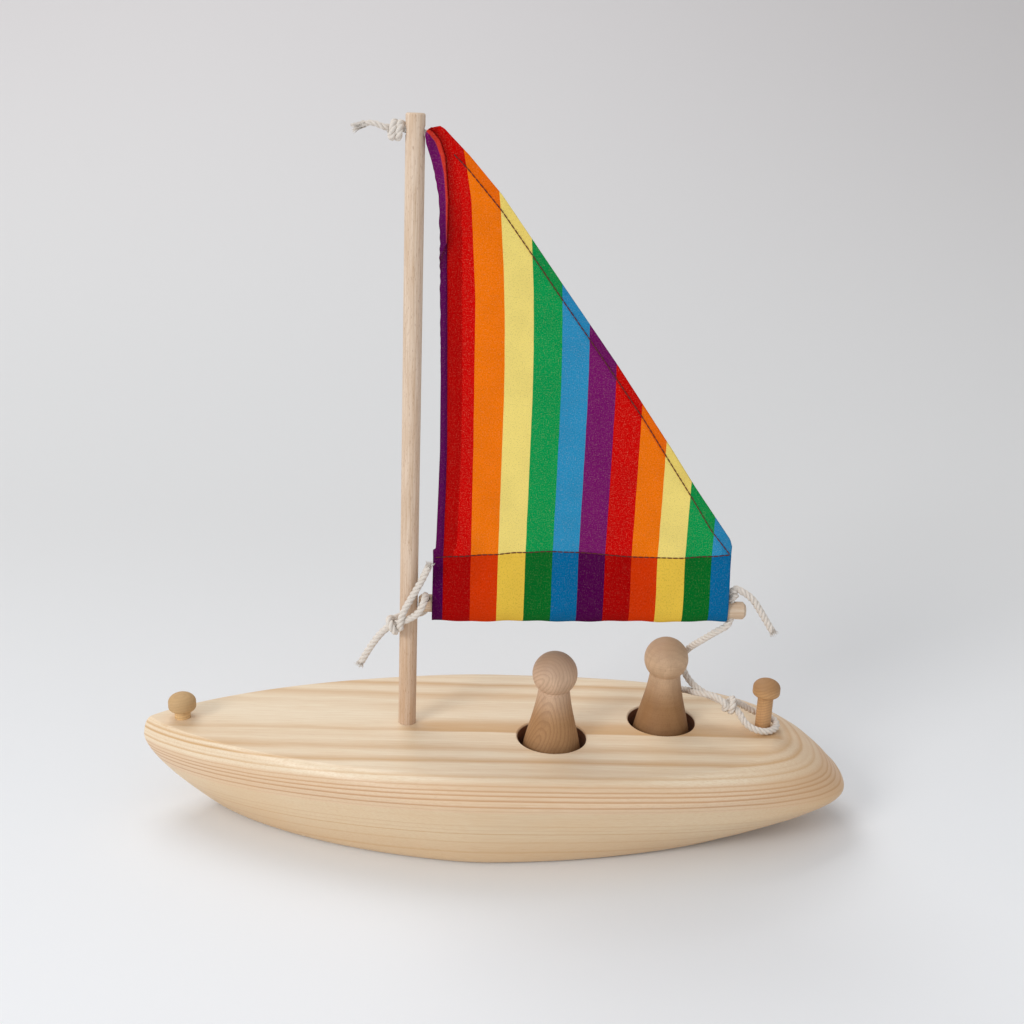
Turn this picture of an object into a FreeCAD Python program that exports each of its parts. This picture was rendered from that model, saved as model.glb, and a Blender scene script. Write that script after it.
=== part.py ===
import FreeCAD, Part
import math
import os

from FreeCAD import Vector

# Wooden toy sailing boat: a solid hull with a mast, a swinging boom with a cloth sail, two pegs,
# two lift-out figures and three cotton ropes with their knots.
# Millimetres. +X runs to the stern, -Y is port, +Z is up. The origin is the middle of the flat
# underside.

# ---------------------------------------------------------------- hull
HULL_LENGTH = 328.0
HULL_BEAM = 118.4
DECK_HEIGHT = 45.3
WIDEST_STATION = -9.8       # X of the greatest beam
BOW_FULLNESS = 1.47         # a larger value carries the beam further forward
BOW_BLUNTNESS = 1.28        # a larger value makes a rounder tip
STERN_FULLNESS = 2.49
STERN_BLUNTNESS = 2.68
GUNWALE_ROUND_HEIGHT = 9.8
GUNWALE_ROUND_WIDTH = 10.6
GUNWALE_BOW_WIDTH = 3.0     # the rounding narrows to these towards the ends
GUNWALE_STERN_WIDTH = 7.8
GUNWALE_NARROWING = 0.85    # over this share of each half
BOW_NOSE_DROP = 9.8         # foremost point below the deck
BOW_ROUND = 4.0             # length of the rounding from the deck to that point
BOW_ROUND_POWERS = (2.0, 2.0)
STERN_NOSE_DROP = 23.2
STERN_ROUND = 36.3
STERN_ROUND_POWERS = (1.14, 1.62)   # 2 and 2 make a quarter ellipse, smaller ones a flatter fall
BOW_RAKE = 34.0             # the underside starts this far behind the foremost point
BOW_RAKE_POWER = 1.5
STERN_RAKE = 51.8
STERN_RAKE_POWER = 1.36
SIDE_FLARE = 12.0           # the underside is this much narrower, on each side, amidships
BOW_FLARE = 6.8             # and towards each end
STERN_FLARE = 19.1
SIDE_FLARE_POWER = 1.0
BILGE_ROUND = 3.0           # rounding of the underside's edge
BILGE_ANGLES = (0, 35, 65, 90)                  # waterlines round the bilge, degrees
GUNWALE_ANGLES = (15, 30, 45, 58, 70, 80, 90)   # and round the gunwale
SIDE_STEPS = 10             # waterlines between the two
HALF_SECTION_STEPS = 20     # points along each side of a waterline

# ---------------------------------------------------------------- seats and figures
SEAT_DIAMETER = 31.7
SEAT_DEPTH = 12.0
SEAT_EDGE = 0.6             # broken edge of the seat at the deck
FRONT_SEAT_X = 24.2
FRONT_SEAT_Y = -11.6
REAR_SEAT_X = 77.2
REAR_SEAT_Y = 6.8
FOOT_CLEARANCE = 1.7        # seat wall to the foot of a figure
FOOT_ROUND = 1.2
FIGURE_HEIGHT = 54.0
HEAD_DIAMETER = 20.4
NECK_DIAMETER = 14.2
WAIST_HEIGHT = 17.7
WAIST_DIAMETER = 21.6
CHEST_HEIGHT = 26.4
CHEST_DIAMETER = 17.4

# ---------------------------------------------------------------- mast, boom and sail
MAST_X = -42.5
MAST_DIAMETER = 8.0
MAST_ABOVE_DECK = 271.3
MAST_SOCKET_DEPTH = 30.0
MAST_EDGE = 0.5
HALYARD_EYE_DROP = 6.8      # top of the mast to the halyard's eye
BOOM_DIAMETER = 8.0
BOOM_HEIGHT = 59.8          # boom axis above the deck
BOOM_REACH = 152.6          # mast axis to the aft end of the boom
BOOM_MAST_GAP = 0.4
BOOM_EDGE = 1.2
FORWARD_EYE_INSET = 3.2     # eye to the forward end of the boom
FORWARD_EYE_TILT = 35.0     # degrees, its top leans to port
AFT_EYE_INSET = 6.4
AFT_EYE_TILT = -15.0
SAIL_THICKNESS = 0.8
LUFF_GAP = 7.3              # mast to the luff
HEAD_GAP = 1.3              # mast to the head
HEAD_RISE = 206.0           # boom axis to the top of the sail
HEAD_WIDTH = 6.4
HEAD_SHOULDER = 9.5         # the leech starts this far below and behind the head
LUFF_BEND = 36.0            # the luff leans to the mast over this height
LEECH_FOOT_RISE = 32.5      # the aft edge stands straight this far above the boom axis
LEECH_ROUND = 1.6           # bulge of the leech past a straight line
CLEW_INSET = 9.5            # aft edge of the sail to the aft end of the boom
SLEEVE_SLACK = 0.5          # boom to the cloth round it
SLEEVE_WALL = 0.5
SLEEVE_RISE = 23.0          # boom axis to the seam that closes the sleeve

# ---------------------------------------------------------------- pegs
PEG_SHANK_DIAMETER = 7.2
PEG_SHANK_LENGTH = 29.0
PEG_HEAD_DIAMETER = 12.6
PEG_HEAD_HEIGHT = 8.4
PEG_BAND_BOTTOM = 2.0       # underside of the head to its widest band
PEG_BAND_TOP = 4.2
BOW_PEG_INSET = 18.1        # peg axis to the end of the hull
BOW_PEG_NECK = 3.6          # bare shank above the deck
STERN_PEG_INSET = 40.0
STERN_PEG_NECK = 17.1

# ---------------------------------------------------------------- ropes and fits
ROPE_DIAMETER = 3.2
ROPE_BEND = 0.45            # share of the shorter run that a bend takes
GLUE_LINE = 0.04            # round a dowel in its socket, on the radius
EYE_CLEARANCE = 0.35        # round a rope in an eye, on the radius
KNOT_SEAT = 0.3             # between a knot and the wood it bears on
HALYARD_KNOT = (7.0, 9.0)   # length and diameter of each knot
TIE_KNOT = (9.6, 8.2)
TIE_KNOT_PLACE = (-6.5, -7.0, -7.9)     # from the mast axis at the boom
STOPPER_KNOT = (7.0, 5.8)
LOOP_KNOT = (10.6, 8.4)
LOOP_KNOT_PLACE = (-16.1, -0.2, 12.3)   # from the stern peg at the deck

# ---------------------------------------------------------------- derived places
BOW_PEG_X = BOW_PEG_INSET - HULL_LENGTH / 2.0
STERN_PEG_X = HULL_LENGTH / 2.0 - STERN_PEG_INSET
BOOM_AXIS_Z = DECK_HEIGHT + BOOM_HEIGHT
MAST_TOP_Z = DECK_HEIGHT + MAST_ABOVE_DECK
MAST_RADIUS = MAST_DIAMETER / 2.0
BOOM_RADIUS = BOOM_DIAMETER / 2.0
ROPE_RADIUS = ROPE_DIAMETER / 2.0
EYE_RADIUS = ROPE_RADIUS + EYE_CLEARANCE
BOOM_FORE_X = MAST_X + MAST_RADIUS + BOOM_MAST_GAP
BOOM_AFT_X = MAST_X + BOOM_REACH
FORWARD_EYE_X = BOOM_FORE_X + FORWARD_EYE_INSET
AFT_EYE_X = BOOM_AFT_X - AFT_EYE_INSET
HALYARD_Z = MAST_TOP_Z - HALYARD_EYE_DROP
SEAT_FLOOR_Z = DECK_HEIGHT - SEAT_DEPTH
OVAL = 0.5523               # pole distance of a quarter oval
UP = Vector(0, 0, 1)
AFT = Vector(1, 0, 0)


def profile_inset(height, nose_drop, round_length, rake, power, round_powers=(2.0, 2.0)):
    """How far a profile lies inside its extreme point at a height: a quarter of a rounded shape
    above that point, and a curved rake below it."""
    nose = DECK_HEIGHT - nose_drop
    if height <= nose:
        return rake * (1.0 - height / nose) ** power
    share = min((height - nose) / nose_drop, 1.0)
    return round_length * (1.0 - (1.0 - share ** round_powers[0]) ** (1.0 / round_powers[1]))


def along(share, amidships, bow, stern, reach=1.0):
    """Value that eases from amidships to the bow (share -1) and to the stern (share 1)."""
    step = min(abs(share) / reach, 1.0)
    ease = step * step * (3.0 - 2.0 * step)
    return amidships + ((stern if share > 0 else bow) - amidships) * ease


def waterline(height):
    """Closed outline of the hull at a height."""
    bilge = 0.0
    if height < BILGE_ROUND:
        bilge = BILGE_ROUND - math.sqrt(BILGE_ROUND ** 2 - (BILGE_ROUND - height) ** 2)
    bow = -HULL_LENGTH / 2.0 + bilge
    bow += profile_inset(height, BOW_NOSE_DROP, BOW_ROUND, BOW_RAKE, BOW_RAKE_POWER,
                         BOW_ROUND_POWERS)
    stern = HULL_LENGTH / 2.0 - bilge
    stern -= profile_inset(height, STERN_NOSE_DROP, STERN_ROUND, STERN_RAKE, STERN_RAKE_POWER,
                           STERN_ROUND_POWERS)
    points = []
    total = 2 * HALF_SECTION_STEPS
    for step in range(total):
        angle = 2.0 * math.pi * step / total
        share = math.cos(angle)
        side = 1.0 if math.sin(angle) > 0 else -1.0
        rounding = along(share, GUNWALE_ROUND_WIDTH, GUNWALE_BOW_WIDTH, GUNWALE_STERN_WIDTH,
                         GUNWALE_NARROWING)
        flare = along(share, SIDE_FLARE, BOW_FLARE, STERN_FLARE)
        half = HULL_BEAM / 2.0 - bilge
        half -= profile_inset(height, GUNWALE_ROUND_HEIGHT, rounding, flare, SIDE_FLARE_POWER)
        if share > 0:
            x = WIDEST_STATION + (stern - WIDEST_STATION) * share
            breadth = (1.0 - share ** STERN_FULLNESS) ** (1.0 / STERN_BLUNTNESS)
        else:
            x = WIDEST_STATION + (WIDEST_STATION - bow) * share
            breadth = (1.0 - (-share) ** BOW_FULLNESS) ** (1.0 / BOW_BLUNTNESS)
        points.append(Vector(x, side * half * breadth, height))
    curve = Part.BSplineCurve()
    curve.interpolate(Points=points, PeriodicFlag=True,
                      Parameters=[step / total for step in range(total + 1)])
    return Part.Wire([curve.toShape()])


def hull_heights():
    """Heights of the waterlines: close together where the outline turns."""
    side = DECK_HEIGHT - GUNWALE_ROUND_HEIGHT
    heights = [BILGE_ROUND * (1.0 - math.cos(math.radians(a))) for a in BILGE_ANGLES]
    heights += [BILGE_ROUND + (side - BILGE_ROUND) * step / SIDE_STEPS
                for step in range(1, SIDE_STEPS + 1)]
    heights += [side + GUNWALE_ROUND_HEIGHT * math.sin(math.radians(a)) for a in GUNWALE_ANGLES]
    return heights


def deck_hole(x, y, radius, depth):
    """Round hole straight down from the deck."""
    top = Vector(x, y, DECK_HEIGHT - depth)
    return Part.makeCylinder(radius, depth + GUNWALE_ROUND_HEIGHT, top, UP)


def make_hull():
    """Hull with its two seats and the sockets of the mast and the pegs."""
    solid = Part.makeLoft([waterline(height) for height in hull_heights()], True, False)
    cuts = [deck_hole(MAST_X, 0, MAST_RADIUS + GLUE_LINE, MAST_SOCKET_DEPTH)]
    for x, neck in ((BOW_PEG_X, BOW_PEG_NECK), (STERN_PEG_X, STERN_PEG_NECK)):
        cuts.append(deck_hole(x, 0, PEG_SHANK_DIAMETER / 2.0 + GLUE_LINE,
                              PEG_SHANK_LENGTH - neck))
    for x, y in ((FRONT_SEAT_X, FRONT_SEAT_Y), (REAR_SEAT_X, REAR_SEAT_Y)):
        cuts.append(deck_hole(x, y, SEAT_DIAMETER / 2.0, SEAT_DEPTH))
        edge = Vector(x, y, DECK_HEIGHT - SEAT_EDGE)
        cuts.append(Part.makeCone(SEAT_DIAMETER / 2.0, SEAT_DIAMETER / 2.0 + 2 * SEAT_EDGE,
                                  2 * SEAT_EDGE, edge, UP))
    for cut in cuts:
        solid = solid.cut(cut)
    return solid


def dowel(start, direction, length, radius, edge):
    """Round rod with eased ends."""
    rod = Part.makeCylinder(radius, length, start, direction)
    rims = [e for e in rod.Edges if isinstance(e.Curve, Part.Circle)]
    return rod.makeChamfer(edge, rims)


def make_mast():
    """Mast, glued into its socket, with the halyard's eye across its top."""
    foot = Vector(MAST_X, 0, DECK_HEIGHT - MAST_SOCKET_DEPTH)
    mast = dowel(foot, UP, MAST_SOCKET_DEPTH + MAST_ABOVE_DECK, MAST_RADIUS, MAST_EDGE)
    eye = Part.makeCylinder(EYE_RADIUS, 2 * MAST_DIAMETER,
                            Vector(MAST_X - MAST_DIAMETER, 0, HALYARD_Z), AFT)
    return mast.cut(eye)


def eye_point(x, tilt, distance):
    """Point on the axis of a boom eye, measured upwards from the boom's axis."""
    lean = math.radians(tilt)
    return Vector(x, -distance * math.sin(lean), BOOM_AXIS_Z + distance * math.cos(lean))


def make_boom():
    """Boom with an eye near each end."""
    boom = dowel(Vector(BOOM_FORE_X, 0, BOOM_AXIS_Z), AFT, BOOM_AFT_X - BOOM_FORE_X,
                 BOOM_RADIUS, BOOM_EDGE)
    for x, tilt in ((FORWARD_EYE_X, FORWARD_EYE_TILT), (AFT_EYE_X, AFT_EYE_TILT)):
        foot = eye_point(x, tilt, -BOOM_DIAMETER)
        boom = boom.cut(Part.makeCylinder(EYE_RADIUS, 2 * BOOM_DIAMETER, foot,
                                          eye_point(x, tilt, BOOM_DIAMETER) - foot))
    return boom


def make_sail():
    """Sail cloth: a flat panel over a sleeve that the boom lies in."""
    luff_x = MAST_X + MAST_RADIUS + LUFF_GAP
    head_x = MAST_X + MAST_RADIUS + HEAD_GAP
    aft_x = BOOM_AFT_X - CLEW_INSET
    seam_z = BOOM_AXIS_Z + SLEEVE_RISE
    head_z = BOOM_AXIS_Z + HEAD_RISE
    bend = Vector(luff_x, 0, head_z - LUFF_BEND)
    head = Vector(head_x, 0, head_z - ROPE_RADIUS)
    peak = Vector(head_x + HEAD_WIDTH, 0, head_z)
    shoulder = Vector(peak.x + HEAD_SHOULDER, 0, head_z - HEAD_SHOULDER)
    leech_foot = Vector(aft_x, 0, BOOM_AXIS_Z + LEECH_FOOT_RISE)
    across = leech_foot - shoulder
    normal = Vector(-across.z, 0, across.x).normalize()
    middle = (shoulder + leech_foot) * 0.5 + normal * LEECH_ROUND
    luff_top = Part.BSplineCurve()
    luff_top.interpolate(Points=[bend, head],
                         Tangents=[Vector(0, 0, LUFF_BEND), Vector(-0.2 * LUFF_BEND, 0, LUFF_BEND)],
                         TangentFlags=[True, True])
    outline = Part.Wire([
        Part.LineSegment(Vector(luff_x, 0, seam_z), bend).toShape(),
        luff_top.toShape(),
        Part.LineSegment(head, peak).toShape(),
        Part.LineSegment(peak, shoulder).toShape(),
        Part.Arc(shoulder, middle, leech_foot).toShape(),
        Part.LineSegment(leech_foot, Vector(aft_x, 0, seam_z)).toShape(),
        Part.LineSegment(Vector(aft_x, 0, seam_z), Vector(luff_x, 0, seam_z)).toShape(),
    ])
    panel = Part.Face(outline)
    panel.translate(Vector(0, -SAIL_THICKNESS / 2.0, 0))
    panel = panel.extrude(Vector(0, SAIL_THICKNESS, 0))
    inner = BOOM_RADIUS + SLEEVE_SLACK
    outer = sleeve_section(luff_x, inner + SLEEVE_WALL, SAIL_THICKNESS / 2.0, seam_z)
    hollow = sleeve_section(luff_x, inner, SAIL_THICKNESS / 8.0, seam_z - 4 * SAIL_THICKNESS)
    sleeve = Part.Face(outer).cut(Part.Face(hollow)).extrude(Vector(aft_x - luff_x, 0, 0))
    return panel.fuse(sleeve).removeSplitter()


def sleeve_section(x, radius, half_top, top_z):
    """Teardrop round the boom: a half circle below its axis, and two sides that meet above."""
    left = Vector(x, -radius, BOOM_AXIS_Z)
    right = Vector(x, radius, BOOM_AXIS_Z)
    bottom = Vector(x, 0, BOOM_AXIS_Z - radius)
    top_left = Vector(x, -half_top, top_z)
    top_right = Vector(x, half_top, top_z)
    return Part.Wire([
        Part.Arc(left, bottom, right).toShape(),
        Part.LineSegment(right, top_right).toShape(),
        Part.LineSegment(top_right, top_left).toShape(),
        Part.LineSegment(top_left, left).toShape(),
    ])


def turned(edges, x, y, z):
    """Solid turned about a vertical axis from a half profile drawn in the XZ plane."""
    solid = Part.Face(Part.Wire(edges)).revolve(Vector(0, 0, 0), UP, 360)
    solid.translate(Vector(x, y, z))
    return solid


def make_figure(x, y):
    """Plain turned figure, one piece: a round foot, a flared body and a ball head."""
    foot = SEAT_DIAMETER / 2.0 - FOOT_CLEARANCE
    ball = HEAD_DIAMETER / 2.0
    neck = NECK_DIAMETER / 2.0
    centre = FIGURE_HEIGHT - ball
    neck_z = centre - math.sqrt(ball ** 2 - neck ** 2)
    lean = FOOT_ROUND * math.sqrt(0.5)
    body = Part.BSplineCurve()
    body.interpolate([Vector(foot, 0, FOOT_ROUND),
                      Vector(WAIST_DIAMETER / 2.0, 0, WAIST_HEIGHT),
                      Vector(CHEST_DIAMETER / 2.0, 0, CHEST_HEIGHT),
                      Vector(neck, 0, neck_z)])
    edges = [
        Part.LineSegment(Vector(0, 0, 0), Vector(foot - FOOT_ROUND, 0, 0)).toShape(),
        Part.Arc(Vector(foot - FOOT_ROUND, 0, 0),
                 Vector(foot - FOOT_ROUND + lean, 0, FOOT_ROUND - lean),
                 Vector(foot, 0, FOOT_ROUND)).toShape(),
        body.toShape(),
        Part.Arc(Vector(neck, 0, neck_z), Vector(ball, 0, centre),
                 Vector(0, 0, FIGURE_HEIGHT)).toShape(),
        Part.LineSegment(Vector(0, 0, FIGURE_HEIGHT), Vector(0, 0, 0)).toShape(),
    ]
    return turned(edges, x, y, SEAT_FLOOR_Z)


def quarter(start, end, corner):
    """Quarter of an oval from start to end, inside the corner where their tangents meet."""
    curve = Part.BezierCurve()
    curve.setPoles([start, start + (corner - start) * OVAL, end + (corner - end) * OVAL, end])
    return curve.toShape()


def make_peg(x, neck_height):
    """Turned peg with a mushroom head, driven into the hull."""
    shank = PEG_SHANK_DIAMETER / 2.0
    head = PEG_HEAD_DIAMETER / 2.0
    end = Vector(shank, 0, -PEG_SHANK_LENGTH)
    collar = Vector(shank, 0, 0)
    band_foot = Vector(head, 0, PEG_BAND_BOTTOM)
    band_top = Vector(head, 0, PEG_BAND_TOP)
    crown = Vector(0, 0, PEG_HEAD_HEIGHT)
    edges = [
        Part.LineSegment(Vector(0, 0, end.z), end).toShape(),
        Part.LineSegment(end, collar).toShape(),
        quarter(collar, band_foot, Vector(head, 0, 0)),
        Part.LineSegment(band_foot, band_top).toShape(),
        quarter(band_top, crown, Vector(head, 0, PEG_HEAD_HEIGHT)),
        Part.LineSegment(crown, Vector(0, 0, end.z)).toShape(),
    ]
    return turned(edges, x, 0, DECK_HEIGHT + neck_height)


def rope(name, route):
    """Plain round tube along a route: straight runs joined by tangent arcs."""
    edges = []
    radii = []
    start = route[0]
    for before, corner, after in zip(route, route[1:], route[2:]):
        into = corner - before
        out = after - corner
        turn = into.getAngle(out)
        trim = ROPE_BEND * min(into.Length, out.Length)
        radius = trim / math.tan(turn / 2.0)
        radii.append(round(radius, 1))
        enter = corner - Vector(into).normalize() * trim
        leave = corner + Vector(out).normalize() * trim
        inward = (Vector(out).normalize() - Vector(into).normalize()).normalize()
        middle = corner + inward * radius * (1.0 / math.cos(turn / 2.0) - 1.0)
        edges.append(Part.LineSegment(start, enter).toShape())
        edges.append(Part.Arc(enter, middle, leave).toShape())
        start = leave
    edges.append(Part.LineSegment(start, route[-1]).toShape())
    path = Part.Wire(edges)
    section = Part.Wire([Part.Circle(route[0], route[1] - route[0], ROPE_RADIUS).toShape()])
    tube = path.makePipeShell([section], True, False)
    expected = math.pi * ROPE_RADIUS ** 2 * path.Length
    print(f"{name}: length {path.Length:.1f}, radii {radii}, volume {tube.Volume / expected:.4f}")
    return tube


def knot(centre, direction, size):
    """Rounded lump of a drawn-up knot, an ellipsoid turned about the rope's direction."""
    length, diameter = size
    stretch = FreeCAD.Matrix()
    stretch.scale(diameter / length, diameter / length, 1.0)
    lump = Part.makeSphere(length / 2.0).transformGeometry(stretch)
    lump.Placement = FreeCAD.Placement(centre, FreeCAD.Rotation(UP, direction))
    return lump


def offsets(anchor, steps):
    """Route points given as steps from an anchor."""
    return [anchor + Vector(*step) for step in steps]


def make_halyard():
    """Rope from the head of the sail through the mast's eye, a knot against the mast, a tail."""
    eye = Vector(MAST_X, 0, HALYARD_Z)
    knot_x = -(MAST_RADIUS + KNOT_SEAT + HALYARD_KNOT[0] / 2.0)
    bearing = eye + Vector(knot_x, 0, 0)
    throat = [eye + Vector(MAST_RADIUS + HEAD_GAP / 2.0, 0, 0), bearing]
    tail = [bearing] + offsets(eye, [(-12.4, -0.2, 1.0), (-18.6, -0.7, 2.0), (-25.1, -1.2, -0.4)])
    return {
        "halyard_throat": rope("halyard_throat", throat),
        "halyard_knot": knot(bearing, AFT, HALYARD_KNOT),
        "halyard_tail": rope("halyard_tail", tail),
    }


def make_boom_tie():
    """Rope through the forward eye and round the mast, knotted off on the port bow."""
    anchor = Vector(MAST_X, 0, BOOM_AXIS_Z)
    centre = anchor + Vector(*TIE_KNOT_PLACE)
    front = [centre + Vector(2.4, -0.9, 1.2)]
    front += offsets(anchor, [(-0.2, -8.2, -5.2), (4.6, -10.2, -1.0), (7.0, -10.4, 4.0)])
    front += [eye_point(FORWARD_EYE_X, FORWARD_EYE_TILT, 6.5) + Vector(0, -3.2, 0.9),
              eye_point(FORWARD_EYE_X, FORWARD_EYE_TILT, 6.5),
              eye_point(FORWARD_EYE_X, FORWARD_EYE_TILT, -7.6)]
    back = offsets(anchor, [(3.0, 7.2, -8.5), (-3.0, 6.4, -8.9), (-7.2, 0.6, -8.6)])
    upper = [centre] + offsets(anchor, [(-2.7, -6.7, -1.3), (1.5, -6.5, 5.3), (5.9, -6.3, 11.2),
                                        (8.3, -6.2, 17.4), (9.7, -6.2, 23.5)])
    lower = [centre] + offsets(anchor, [(-12.1, -7.0, -11.5), (-15.9, -6.8, -17.7),
                                        (-19.1, -6.6, -23.6), (-21.4, -6.4, -28.2)])
    return {
        "tie_ring": rope("tie_ring", front + back + [centre + Vector(-0.7, 2.6, -0.7)]),
        "tie_knot": knot(centre, Vector(-1.0, 0, -0.35), TIE_KNOT),
        "tie_tail_upper": rope("tie_tail_upper", upper),
        "tie_tail_lower": rope("tie_tail_lower", lower),
    }


def make_mainsheet():
    """Rope from a stopper knot on the boom, down through the aft eye, to a loop on the peg."""
    seat = BOOM_RADIUS + KNOT_SEAT
    stopper = eye_point(AFT_EYE_X, AFT_EYE_TILT, seat + STOPPER_KNOT[0] / 2.0)
    peg = Vector(STERN_PEG_X, 0, DECK_HEIGHT)
    centre = peg + Vector(*LOOP_KNOT_PLACE)
    tail = [stopper] + offsets(stopper, [(4.9, -0.3, 1.0), (9.6, -0.8, -2.0), (13.6, -1.4, -7.8),
                                         (17.2, -2.0, -13.5), (21.0, -2.6, -18.9)])
    run = [eye_point(AFT_EYE_X, AFT_EYE_TILT, seat - ROPE_RADIUS),
           eye_point(AFT_EYE_X, AFT_EYE_TILT, -6.6)]
    run += offsets(peg, [(-26.0, 0.4, 49.0), (-31.4, 4.6, 42.6), (-35.4, 11.4, 35.9),
                         (-37.6, 17.4, 29.0), (-37.2, 17.4, 22.4), (-33.4, 12.6, 16.8),
                         (-27.2, 8.4, 13.0), (-21.6, 3.6, 11.6)])
    run += [centre]
    loop = [centre + Vector(1.6, -2.2, -0.9)]
    loop += offsets(peg, [(-10.4, -5.8, 5.9), (-5.6, -7.3, 3.1), (0.4, -7.2, 2.0),
                          (5.6, -3.9, 2.2), (6.8, 1.4, 3.1), (3.4, 5.9, 3.9),
                          (-2.8, 6.0, 5.6), (-8.6, 3.2, 9.4)])
    loop += [centre + Vector(2.6, 2.2, -0.8)]
    short = [centre] + offsets(peg, [(-22.4, 0.5, 14.2), (-28.8, 3.9, 15.4), (-32.4, 9.8, 13.6),
                                     (-34.8, 16.4, 11.4), (-38.4, 21.0, 9.4)])
    return {
        "sheet_stopper": knot(stopper, stopper - eye_point(AFT_EYE_X, AFT_EYE_TILT, 0),
                              STOPPER_KNOT),
        "sheet_tail": rope("sheet_tail", tail),
        "sheet_run": rope("sheet_run", run),
        "sheet_knot": knot(centre, Vector(1.0, -0.2, -0.35), LOOP_KNOT),
        "sheet_loop": rope("sheet_loop", loop),
        "sheet_short_tail": rope("sheet_short_tail", short),
    }


NODES = {
    "hull": make_hull(),
    "mast": make_mast(),
    "bow_peg": make_peg(BOW_PEG_X, BOW_PEG_NECK),
    "stern_peg": make_peg(STERN_PEG_X, STERN_PEG_NECK),
    "boom": make_boom(),
    "sail": make_sail(),
    "figure_front": make_figure(FRONT_SEAT_X, FRONT_SEAT_Y),
    "figure_rear": make_figure(REAR_SEAT_X, REAR_SEAT_Y),
}
NODES.update(make_halyard())
NODES.update(make_boom_tie())
NODES.update(make_mainsheet())

os.makedirs("parts", exist_ok=True)
for node, shape in NODES.items():
    box = shape.BoundBox
    print(f"{node}: valid {shape.isValid()}, solids {len(shape.Solids)}, volume "
          f"{shape.Volume:.0f}, X {box.XMin:.1f} {box.XMax:.1f}, Y {box.YMin:.1f} {box.YMax:.1f}, "
          f"Z {box.ZMin:.1f} {box.ZMax:.1f}")
    shape.exportStep(f"parts/{node}.step")
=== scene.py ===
"""A wooden toy sailing boat: pine hull, dowel mast and boom, striped cloth sail, ropes and two peg
figures."""

import math

import bpy
import numpy as np
from mathutils import Matrix, Vector


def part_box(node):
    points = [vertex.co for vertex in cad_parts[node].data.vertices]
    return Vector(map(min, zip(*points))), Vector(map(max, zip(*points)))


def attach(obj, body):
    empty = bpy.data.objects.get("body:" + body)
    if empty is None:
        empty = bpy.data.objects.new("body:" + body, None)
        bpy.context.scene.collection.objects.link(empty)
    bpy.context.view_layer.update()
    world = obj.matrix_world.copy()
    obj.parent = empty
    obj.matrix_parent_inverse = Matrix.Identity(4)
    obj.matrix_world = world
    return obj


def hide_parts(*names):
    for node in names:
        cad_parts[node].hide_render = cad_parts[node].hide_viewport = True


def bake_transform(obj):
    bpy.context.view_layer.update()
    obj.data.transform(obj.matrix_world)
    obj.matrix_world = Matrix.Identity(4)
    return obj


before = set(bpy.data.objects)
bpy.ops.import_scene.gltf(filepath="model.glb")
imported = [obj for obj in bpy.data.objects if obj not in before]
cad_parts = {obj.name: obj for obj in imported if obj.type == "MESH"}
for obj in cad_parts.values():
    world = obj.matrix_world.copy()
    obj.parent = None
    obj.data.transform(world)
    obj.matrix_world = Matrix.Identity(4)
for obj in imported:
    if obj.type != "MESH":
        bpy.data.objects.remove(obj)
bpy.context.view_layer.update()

MM = 0.001
TURN = 2.0 * math.pi
RNG = np.random.default_rng(28)


# ------------------------------------------------------------------ shader arithmetic

class Socket:
    """A shader output that takes part in Python arithmetic: each operator adds one Math node."""

    def __init__(self, paint, link):
        self.paint, self.link = paint, link

    def _math(self, operation, other, swapped=False):
        sockets = {0: other, 1: self} if swapped else {0: self, 1: other}
        return self.paint.add("Math", {"operation": operation}, sockets)

    def __add__(self, other):
        return self._math("ADD", other)

    def __sub__(self, other):
        return self._math("SUBTRACT", other)

    def __rsub__(self, other):
        return self._math("SUBTRACT", other, swapped=True)

    def __mul__(self, other):
        return self._math("MULTIPLY", other)

    def __truediv__(self, other):
        return self._math("DIVIDE", other)

    def __pow__(self, other):
        return self._math("POWER", other)

    __radd__, __rmul__ = __add__, __mul__


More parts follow.
